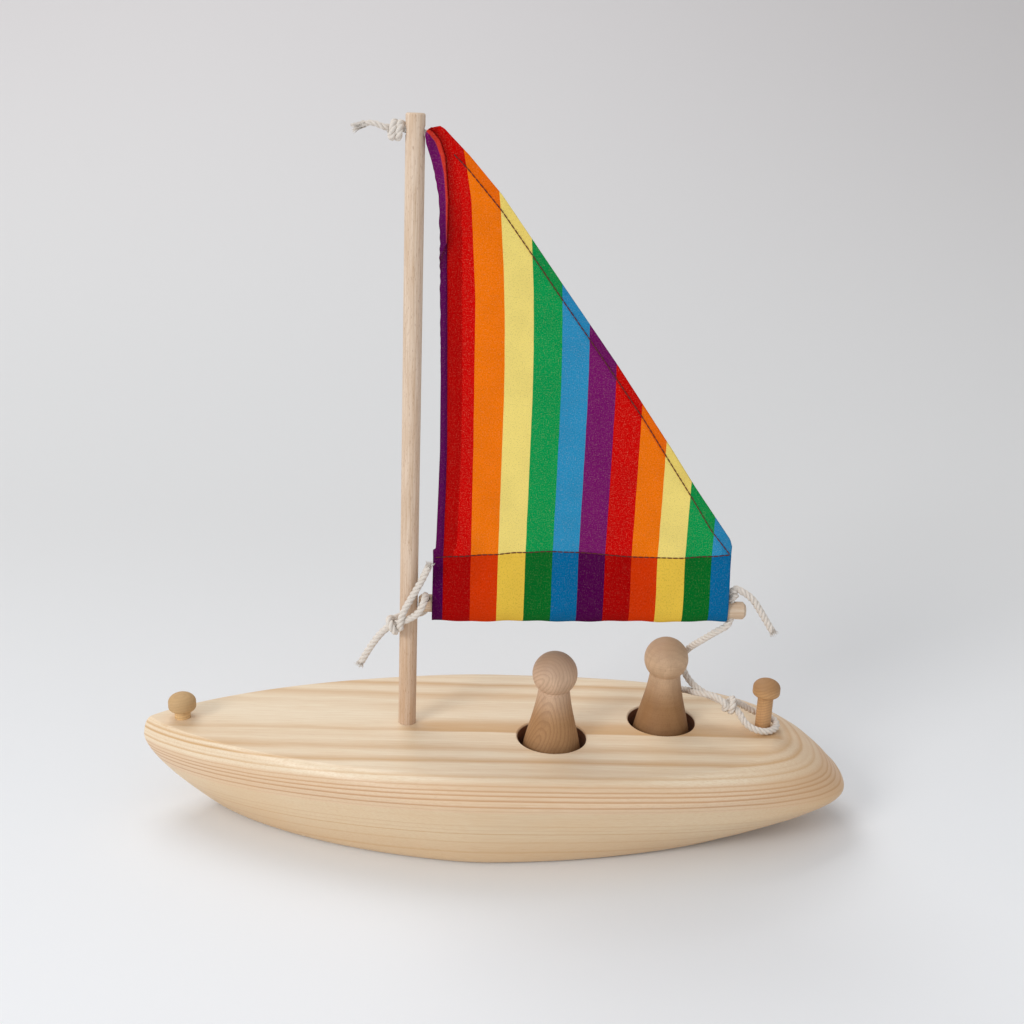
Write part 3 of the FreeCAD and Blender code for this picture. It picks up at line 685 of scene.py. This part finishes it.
def make_hem(name, line_x, line_z, inward, wide):
    """Turned-back edge on the starboard side: a strip that follows the cloth, half a millimetre off it, and
    swells a little along its fold. wide is its width, at most nine tenths of the sail's width there."""
    gap = np.linspace(0.0, 1.0, 10)[None, :]
    wide = np.minimum(wide, 0.9 * (leech_at(line_z) - luff_at(line_z)))[:, None]
    x = line_x[:, None] + gap * wide * inward[0]
    z = line_z[:, None] + gap * wide * inward[1]
    swell = 0.42 * MM + 0.3 * MM * np.sin(math.pi * gap) ** 2
    y = billow(x, z) + swell * np.where(gap == 0.0, 0.2, 1.0)
    cloth = np.stack([stripe_place(x, z), z - seam_at(x)], -1)
    strip = add_grid(name, np.stack([x, y, z], -1)[:, ::-1], uv=cloth[:, ::-1])
    hold_values(strip, hem=np.zeros(x.size), luff=np.zeros(x.size), fold=np.ones(x.size))
    thicken(strip, HEM_CLOTH)
    return strip


STITCH = 2.45 * MM
STITCH_GAP = 0.15 * MM
STITCH_RADIUS = 0.27 * MM


def make_stitches(name, line, outward):
    """Sewing thread: a row of short stitches along a line on the cloth. Each is a six-sided spindle,
    arched so that its ends dip into the cloth."""
    points = even_steps(line, STITCH + STITCH_GAP)[0]
    centre = (points[:-1] + points[1:]) / 2.0
    forward = unit(np.diff(points, axis=0))
    out = np.broadcast_to(np.asarray(outward, float), forward.shape)
    side = np.cross(forward, out)
    t = np.linspace(-1.0, 1.0, 7)
    sides = np.arange(6)
    around = sides * math.pi / 3.0
    radius = STITCH_RADIUS * np.sqrt(np.clip(1.0 - t ** 4, 0.2, 1.0))
    arch = 0.08 * MM * (1.0 - t ** 2)
    middle = (centre[:, None] + forward[:, None] * (t * STITCH / 2.0)[None, :, None]
              + out[:, None] * arch[None, :, None])
    ring = (np.cos(around)[None, None, :, None] * out[:, None, None] +
            np.sin(around)[None, None, :, None] * side[:, None, None])
    grid = middle[:, :, None] + ring * radius[None, :, None, None]
    first = (np.arange(len(centre)) * len(t) * 6)[:, None]
    row = (np.arange(len(t) - 1) * 6)[None, :, None, None]
    quad = np.stack([sides, (sides + 1) % 6, (sides + 1) % 6 + 6, sides + 6], -1)[None, None]
    faces = (first[..., None, None] + row + quad).reshape(-1, 4).tolist()
    faces += (first + sides[::-1]).tolist() + (first + (len(t) - 1) * 6 + sides).tolist()
    return add_mesh(name, grid.reshape(-1, 3), faces)


# Purple, red, orange, yellow, green and blue, twice over: one layer of cloth painted bright with the light
# that shines through it, and two layers in painted shade, as less light passes through them.
CLOTH_BACKLIT = [(124, 20, 106), (216, 0, 0), (255, 124, 4), (255, 232, 130), (0, 160, 82), (44, 150, 200)] * 2
CLOTH_SHADED = [(78, 0, 70), (172, 0, 0), (218, 56, 0), (240, 200, 74), (0, 108, 38), (0, 106, 160)] * 2


def sail_cloth():
    """Plain-woven cotton in even stripes. The stripe is the step of the distance across. One layer of cloth
    is painted bright with the light that shines through it; two layers, at the sleeve and hems, are
    painted deeper in colour as painted shade, since less light comes through them. A painted highlight
    runs along the raised band by the luff, with painted shade in the groove just aft of it. Threads cross
    at right angles, and pale flecks lie in them."""
    paint = Paint("sail_cloth")
    uv = paint.add("UVMap", {"uv_map": "cloth"})
    across, down = paint.split(uv)[:2]
    warp = paint.grain((across, down, 0.0), (900.0, 90.0, 1.0))
    stripe = (across + (warp - 0.5) * 0.00035) / (STRIPE_PITCH * STRIPES)
    backlit, shaded = (paint.ramp(stripe, [(i / STRIPES, tone(*c)) for i, c in enumerate(colours)], "CONSTANT")
                 for colours in (CLOTH_BACKLIT, CLOTH_SHADED))
    hem, luff, fold = paint.attribute("hem"), paint.attribute("luff"), paint.attribute("fold") * 1000.0

    # Where the cloth lies doubled (sleeve, turned hems, luff hem) its colour is painted darker: painted shade,
    # as less light shines through two layers.
    sleeve = 1.0 - paint.smooth(down, -0.0003, 0.0003)
    turned = 0.30 * (1.0 - paint.smooth(hem, HEM - 0.0004, HEM + 0.0002))
    folded = 0.75 * (1.0 - paint.smooth(luff, LUFF_HEM - 0.0006, LUFF_HEM)) * (
        1.0 - 0.7 * paint.smooth(down, 0.140, 0.165))
    double_layer_shade = paint.math("MAXIMUM", sleeve, paint.math("MAXIMUM", turned, folded))

    threads = TURN / THREAD_PITCH
    over, under = (paint.math("SINE", way * threads) for way in (across, down))
    weave = paint.math("ABSOLUTE", over * under)
    slub = paint.grain((across, down, 0.0), (420.0, 3600.0, 1.0), 3.0, 0.6)
    slub_down = paint.grain((across, down, 5.0), (3600.0, 420.0, 1.0), 3.0, 0.6)
    speck = paint.grain((across, down, 9.0), (1900.0, 1900.0, 1.0), 2.0, 0.7)
    cloud = paint.grain((across, down, 0.0), (60.0, 60.0, 1.0), 3.0)
    fleck = paint.smooth(paint.math("MAXIMUM", slub, slub_down), 0.56, 0.74)

    # Painted light by the luff: a painted highlight along the raised band, and painted shade in its groove and
    # in the dip just aft of it.
    past_purple = paint.smooth(across, STRIPE_PITCH, STRIPE_PITCH + 0.0002)
    raised = past_purple * paint.smooth(fold, -2.8, -2.0) * (1.0 - paint.smooth(fold, -0.3, 0.0))
    crease_shade = 1.0 - paint.smooth(paint.math("ABSOLUTE", fold - 0.2), 0.15, 0.5)
    hollow_shade = paint.smooth(fold, 0.0, 0.2) * (1.0 - paint.smooth(fold, 0.2, 4.5))
    pale = (fleck * 0.14 + paint.smooth(speck, 0.54, 0.72) * 0.17) * (1.0 - 0.6 * double_layer_shade)
    colour = paint.coats(
        # Painted light: bright where one layer lets light through, painted shade where the cloth is doubled.
        paint.mix(double_layer_shade, backlit, shaded),
        # Painted highlight on the raised band, then painted shade in the groove and dip beside it.
        (raised * 0.45, tone(236, 84, 66)),
        (hollow_shade * 0.42 + crease_shade * 0.35, tone(70, 0, 4)),
        (pale, tone(236, 196, 160)),
        (paint.smooth(speck, 0.50, 0.30) * 0.24, tone(24, 4, 10)),
        (paint.smooth(cloud, 0.35, 0.7) * 0.07, tone(30, 10, 20)),
        (weave * 0.08, tone(20, 6, 12)))
    height = weave * 0.7 + slub * 0.5 + slub_down * 0.5
    return paint.finish({"Base Color": colour, "Roughness": 0.92, "Specular IOR Level": 0.03,
                         "Normal": paint.bump(height, 0.00012, 0.6)})


def thread():
    """Dark red sewing thread with fine fibres."""
    paint = Paint("thread")
    fibre = paint.noise(paint.place(), 3000.0, 2.0)
    colour = paint.mix(fibre, tone(70, 14, 12), tone(104, 30, 16))
    return paint.finish({"Base Color": colour, "Roughness": 0.7,
                         "Normal": paint.bump(fibre, 0.0001, 0.5)})


def dress_sail():
    """The sail with its three turned hems and two rows of stitches, each row seen on both sides."""
    sail = make_sail()
    heights = np.linspace(0.1395, 0.3110, 220)
    leech = make_hem("sail_hem_leech", leech_at(heights), heights, (-0.80, -0.59), HEM)
    heights = np.linspace(0.1320, 0.3060, 220)
    luff = make_hem("sail_hem_luff", luff_at(heights), heights, (1.0, 0.0), LUFF_HEM)
    heights = np.linspace(0.1300, 0.1390, 24)
    aft = make_hem("sail_hem_aft", leech_at(heights), heights, (-1.0, 0.0), HEM)
    along_seam = np.linspace(-0.0310, 0.1008, 90)
    up_leech = np.linspace(LEECH_STITCH[0, 1], LEECH_STITCH[-1, 1], 110)
    rows = []
    lines = [(along_seam, seam_at(along_seam)), (line_at(LEECH_STITCH, up_leech), up_leech)]
    for k, (x, z) in enumerate(lines):
        for side, lift, word in ((-1.0, 0.30 * MM, "port"), (1.0, 0.85 * MM, "starboard")):
            line = np.stack([x, billow(x, z) + side * lift, z], -1)
            rows.append(make_stitches(f"stitches_{k}_{word}", line, (0.0, side, 0.0)))
    cloth, sewn = sail_cloth(), thread()
    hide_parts("sail")
    for piece in (sail, leech, luff, aft):
        piece.data.materials.append(cloth)
    for piece in rows:
        piece.data.materials.append(sewn)
    for piece in (sail, leech, luff, aft, *rows):
        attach(piece, "boom")


dress_sail()


# ------------------------------------------------------------------ woods

def rings(paint, radius, span, lines):
    """Darkness of growth rings over a span of radii. A line (place, rise, strength, fall) darkens slowly
    over rise millimetres up to place and then falls back within fall, as late wood ends at a sharp
    edge."""
    low, high = span
    stops = [(low, 0.0)]
    for place, rise, strength, fall in lines:
        stops += [(place - rise, 0.0), (place, strength), (place + fall, 0.0)]
    stops = [((max(p, low) - low) / (high - low), (v, v, v, 1.0)) for p, v in stops]
    return paint.ramp((radius - low) / (high - low), stops)


# Growth rings of the hull about a line along the boat, PITH_SIDE to starboard and PITH_HEIGHT up. Each is its
# radius in millimetres, how slowly it darkens, its strength and how fast it falls back.
PITH_SIDE, PITH_HEIGHT = 2.0, 194.0
DECK_RINGS = [(149.5, 0.6, 0.20, 0.5), (151.0, 1.2, 0.60, 0.7), (153.4, 1.1, 0.80, 0.6),
              (155.4, 0.6, 0.15, 0.5), (157.3, 1.0, 0.55, 0.5)]
SIDE_RINGS = [(160.5, 0.6, 0.45, 0.4), (162.6, 0.7, 0.85, 0.3), (164.4, 0.8, 0.95, 0.3),
              (166.6, 1.0, 0.95, 0.3), (167.9, 0.3, 0.2, 0.2), (169.3, 0.9, 0.90, 0.3), (171.2, 0.5, 0.3, 0.2)]
LOW_RINGS = [(174.6, 0.4, 0.15, 0.2), (178.8, 0.5, 0.45, 0.2), (181.0, 0.5, 0.35, 0.2),
             (183.0, 0.6, 0.75, 0.2), (187.6, 0.8, 0.4, 0.3), (193.2, 1.2, 0.5, 0.3)]


def pine():
    """Clear finished pine. Growth rings lie round a line far above the boat, so they run along the deck
    as broad bands, crowd together on the sides and close round the stern like contours. A darker beam of
    heartwood runs aft along the port side of the deck; from the mast's foot aft it is painted stronger, as
    a painted shadow of the mast. The seats' wells are painted dark, mostly as painted shade in the recess,
    and the hull is painted darker towards the stern and towards its bottom as painted shade."""
    paint = Paint("hull_pine")
    spot = x, y, z = [part * 1000.0 for part in paint.split()]
    drift = paint.grain(spot, (0.006, 0.02, 0.02)) - 0.5
    shake = paint.grain(spot, (0.03, 0.11, 0.11)) - 0.5
    fibre = paint.grain(spot, (0.05, 2.6, 2.6), 3.0, 0.65)
    cloud = paint.grain(spot, (0.012, 0.06, 0.06), 3.0)
    duct = paint.smooth(paint.grain(spot, (0.16, 2.4, 2.4), 1.0), 0.68, 0.8)

    over = z - PITH_HEIGHT
    beside = y - PITH_SIDE + drift * 3.0
    radius = paint.math("SQRT", over * over + beside * beside) + drift * 1.2 + shake * 0.5
    deck = rings(paint, radius, (147.0, 160.0), DECK_RINGS)
    side = rings(paint, radius, (158.0, 174.0), SIDE_RINGS)
    low = rings(paint, radius, (171.5, 200.0), LOW_RINGS)

    # From the mast's foot aft the band is painted stronger: a painted shadow of the mast falling aft along the
    # deck, over the heartwood.
    aft = paint.smooth(x, -50.0, -28.0) * (1.0 - 0.55 * paint.smooth(x, 84.0, 116.0))
    beam = (y + drift * 5.0 + shake * 2.5) * -1.0
    heart_and_mast_shadow = paint.smooth(beam, -7.0, 3.0) * (1.0 - paint.smooth(beam, 7.5, 10.0)) * (aft * 0.75 + 0.10)
    streak = paint.smooth(beam, 4.0, 8.5) * (1.0 - paint.smooth(beam, 8.5, 9.8)) * (aft * 0.35 + 0.45)
    heart_and_mast_shadow = (heart_and_mast_shadow + streak * (1.0 - heart_and_mast_shadow)) * paint.smooth(z, 44.0, 45.0)
    bow_end = paint.smooth(x * -1.0, 92.0, 135.0) * (1.0 - paint.smooth(radius, 158.5, 160.0))
    dark = paint.math("MAXIMUM", paint.math("MAXIMUM", deck * (1.0 + bow_end * 0.5), side),
                      paint.math("MAXIMUM", low, heart_and_mast_shadow))

    to_side = paint.smooth(radius, 158.4, 160.4)
    to_low = paint.smooth(radius, 171.8, 172.4)
    early, late = (paint.mix(to_low, paint.mix(to_side, tone(*on_deck), tone(*on_side)), tone(*below))
                   for on_deck, on_side, below in (((240, 223, 196), (228, 201, 169), (226, 203, 170)),
                                                   ((206, 164, 114), (188, 136, 94), (202, 160, 112))))
    # Painted shade: the hull's colour is darkened towards its bottom (foot) and towards the stern.
    foot = 1.0 - paint.smooth(z, 2.0, 20.0)
    colour = paint.coats(
        early,
        (dark * (0.72 + fibre * 0.5), late),
        (paint.smooth(fibre, 0.38, 0.68) * 0.30, tone(210, 170, 124)),
        (paint.smooth(cloud, 0.4, 0.7) * 0.18, tone(220, 180, 132)),
        (duct * 0.20, tone(166, 118, 78)),
        # Painted shade towards the stern and towards the hull's bottom.
        (paint.smooth(x, 90.0, 160.0) * 0.42 + foot * 0.26, tone(198, 148, 92)))
    # The seat wells are painted dark reddish brown: mostly painted shade in the recess, with some of the
    # wall's own darker tone.
    for seat in SEATS:
        away = ((x - float(seat[0]) * 1000.0) ** 2.0 + (y - float(seat[1]) * 1000.0) ** 2.0) ** 0.5
        inside = (1.0 - paint.smooth(away, 15.95, 16.15)) * (1.0 - paint.smooth(z, 44.3, 45.2))
        colour = paint.mix(inside * 0.88, colour, tone(104, 52, 30))
    height = fibre * 0.6 - dark * 0.4
    return paint.finish({"Base Color": colour, "Roughness": 0.36 + fibre * 0.10, "Specular IOR Level": 0.45,
                         "Normal": paint.bump(height, 0.00006, 0.35)})


def dowel_wood(name, along, light, dark, fleck_strength=0.5):
    """Plain rounded dowel of pale hardwood: straight fine grain along the stick and short brown flecks.
    An upright stick is browner towards its foot."""
    paint = Paint(name)
    spot = [part * 1000.0 for part in paint.split()]
    long, short, broad = ([lengthwise if i == along else crosswise for i in range(3)]
                          for lengthwise, crosswise in ((0.05, 1.9), (0.42, 3.4), (0.015, 0.35)))
    grain = paint.grain(spot, long, 3.0, 0.6)
    ray = paint.grain(spot, short, 2.0, 0.55)
    shade = paint.grain(spot, broad)
    colour = paint.coats(
        light,
        (paint.smooth(grain, 0.3, 0.7), dark),
        (paint.smooth(shade, 0.4, 0.7) * 0.35, tone(206, 174, 144)),
        (paint.smooth(ray, 0.58, 0.70) * fleck_strength, tone(160, 120, 90)))
    if along == 2:
        colour = paint.mix((1.0 - paint.smooth(spot[2], 50.0, 190.0)) * 0.30, colour, tone(186, 138, 94))
    return paint.finish({"Base Color": colour, "Roughness": 0.62 + grain * 0.1, "Specular IOR Level": 0.3,
                         "Normal": paint.bump(grain + ray * 0.4, 0.00008, 0.4)})


def growth(paint, spot, pith, lean, drift):
    """Distance from a leaning line through pith, the middle of the growth rings."""
    p, q, r = (part - place for part, place in zip(spot, pith))
    p = p + drift * 4.0
    a, b, c = (part / math.sqrt(sum(k * k for k in lean)) for part in lean)
    reach = p * a + q * b + r * c
    return paint.math("SQRT", p * p + q * q + r * r - reach * reach) + drift * 1.5


def turned_wood(name, node, head, foot, fade, crown, piths, pitch, share, turning):
    """Turned hardwood. Growth rings lie round leaning lines, one below and one above the neck, each ring
    pitch wide and as dark as share, and the lathe leaves fine level lines as dark as turning. The tone
    goes from head to foot between the heights in fade; on the figures the darker foot is painted shade down
    in the seat well. The crown shows darker end grain, pores run up the piece, and the lowest part is
    painted darker still as painted shade. Heights are in millimetres from the piece's middle; piths gives
    both lines and the neck's height."""
    paint = Paint(name)
    centre = [float(part) * 1000.0 for part in centre_of(node)]
    spot = [part * 1000.0 - place for part, place in zip(paint.split(), centre)]
    w = spot[2]
    drift = paint.grain(spot, (0.09, 0.09, 0.05)) - 0.5
    lower, neck, upper = piths
    above = paint.smooth(w, neck, neck + 1.0)
    radius = growth(paint, spot, *lower, drift) * (1.0 - above) + growth(paint, spot, *upper, drift) * above
    phase = paint.math("FRACT", radius / pitch)
    ring = paint.smooth(phase, 0.35, 0.9) * (1.0 - paint.smooth(phase, 0.93, 1.0))
    pore = paint.grain(spot, (3.0, 3.0, 0.3), 2.0, 0.6)
    lathe = paint.grain(spot, (0.05, 0.05, 3.4), 2.0, 0.7)
    cloud = paint.grain(spot, (0.14, 0.14, 0.07))
    # On the figures the darker foot tone is painted shade down in the seat well.
    light = paint.mix(paint.smooth(w, *fade), foot, head)
    dark = paint.mix(0.50, light, tone(96, 54, 26))
    colour = paint.coats(
        light,
        (ring * share, dark),
        (paint.smooth(pore, 0.50, 0.72) * 0.42, dark),
        (paint.smooth(lathe, 0.45, 0.7) * turning, dark),
        (paint.smooth(cloud, 0.4, 0.7) * 0.30, dark),
        (paint.smooth(w, *crown) * 0.75, dark),
        # Painted shade: darker towards the bottom of the piece, where it stands down in its seat or hole.
        ((1.0 - paint.smooth(w, -27.0, -8.0)) * 0.35, tone(112, 66, 32)))
    height = pore * 0.5 + lathe * 0.6 + ring * 0.3
    return paint.finish({"Base Color": colour, "Roughness": 0.55 + pore * 0.12, "Specular IOR Level": 0.35,
                         "Normal": paint.bump(height, 0.00010, 0.45)})


def dress_wood():
    """Gives each solid its own wood: the solids keep their shapes."""
    bow_rings = (2.0, -2.0, 22.0), (1.0, 0.25, 0.1)
    stern_rings = (-2.0, 3.0, 30.0), (1.0, 0.5, 0.2)
    woods = {
        "hull": pine(),
        "mast": dowel_wood("mast_birch", 2, tone(226, 206, 186), tone(204, 178, 152)),
        "boom": dowel_wood("boom_birch", 0, tone(214, 194, 172), tone(196, 170, 142), 0.35),
        "bow_peg": turned_wood(
            "bow_peg_beech", "bow_peg", tone(234, 196, 142), tone(196, 148, 100), (1.0, 5.0), (8.0, 12.5),
            (bow_rings, 40.0, bow_rings), 1.3, 0.45, 0.12),
        "stern_peg": turned_wood(
            "stern_peg_beech", "stern_peg", tone(196, 152, 104), tone(206, 160, 112), (3.0, 8.0),
            (12.5, 17.0), (stern_rings, 40.0, stern_rings), 1.4, 0.45, 0.10),
        # The figures' darker foot tones are painted shade where they stand down in the seat wells.
        "figure_front": turned_wood(
            "front_figure_maple", "figure_front", tone(210, 178, 150), tone(174, 132, 90), (-6.0, 12.0),
            (15.0, 26.0), (((-8.0, -9.0, -14.0), (0.15, -0.30, 0.94)), 8.0,
                           ((-7.5, -8.0, 16.0), (0.2, -0.75, 0.6))), 1.7, 0.42, 0.06),
        "figure_rear": turned_wood(
            "rear_figure_maple", "figure_rear", tone(206, 174, 142), tone(156, 116, 76), (-6.0, 14.0),
            (16.0, 27.0), (((3.0, 14.0, -10.0), (0.15, 0.1, 0.98)), 8.0,
                           ((9.0, 6.0, 28.0), (0.9, -0.1, 0.5))), 2.3, 0.18, 0.26),
    }
    for node, wood in woods.items():
        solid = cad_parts[node]
        if not solid.material_slots:
            solid.data.materials.append(wood)
        for place in solid.material_slots:
            place.material = wood


dress_wood()


# ------------------------------------------------------------------ floor and light

def add_lamp(name, place, aim, power, size, colour):
    """Square soft lamp at place, turned towards aim."""
    lamp = bpy.data.lights.new(name, "AREA")
    lamp.energy = power
    lamp.size = size
    lamp.color = colour
    holder = bpy.data.objects.new(name, lamp)
    holder.location = place
    holder.rotation_euler = (Vector(aim) - Vector(place)).to_track_quat("-Z", "Y").to_euler()
    bpy.context.scene.collection.objects.link(holder)


FLOOR_HALF_WIDTH, FLOOR_FRONT, FLOOR_BACK, BACK_TOP = 9.0, -6.0, 0.8, 9.0
BEND_RADIUS = 3.6


def make_stage():
    """Pale floor that rises far behind the boat in one smooth curve, under soft light from all round and
    a window on the bow side. Its colour is painted darker towards the back and towards the stern side as
    painted shade."""
    bend = np.linspace(0.0, math.pi / 2.0, 32)
    y = np.concatenate([[FLOOR_FRONT, 0.0], FLOOR_BACK + BEND_RADIUS * np.sin(bend),
                        [FLOOR_BACK + BEND_RADIUS]])
    z = np.concatenate([[0.0, 0.0], BEND_RADIUS * (1.0 - np.cos(bend)), [BACK_TOP]])
    x = np.array([-FLOOR_HALF_WIDTH, FLOOR_HALF_WIDTH])
    floor = add_grid("floor", np.stack(np.broadcast_arrays(x[None, :], y[:, None], z[:, None]), -1))
    paint = Paint("floor")
    cloud = paint.noise(paint.place(), 1.2, 2.0)
    across, back = paint.split()[:2]
    # Painted shade: the floor is painted darker towards the back, where it rises behind the boat, and towards
    # the stern side, away from the lamps.
    colour = paint.coats(
        paint.mix(cloud, tone(243, 246, 250), tone(241, 243, 246)),
        (paint.smooth(back, -0.3, 0.45), tone(217, 218, 219)),
        (paint.smooth(back, 0.5, 3.2), tone(209, 206, 207)),
        (paint.smooth(across, -0.3, 2.2) * 0.30, tone(190, 186, 182)))
    floor.data.materials.append(paint.finish({"Base Color": colour, "Roughness": 0.9}))
    world = bpy.data.worlds.new("studio")
    bpy.context.scene.world = world
    world.use_nodes = True
    background = world.node_tree.nodes["Background"]
    background.inputs["Color"].default_value = (0.97, 0.98, 1.0, 1.0)
    background.inputs["Strength"].default_value = 0.61
    add_lamp("skylight", place=(-1.0, 1.6, 2.8), aim=(0.0, 0.0, 0.05), power=37.0, size=2.0,
             colour=(1.0, 0.99, 0.97))
    add_lamp("window", place=(-2.6, -2.6, 2.0), aim=(0.0, 0.0, 0.12), power=68.0, size=1.4,
             colour=(1.0, 0.985, 0.96))


make_stage()
bpy.context.scene.view_settings.view_transform = "Standard"
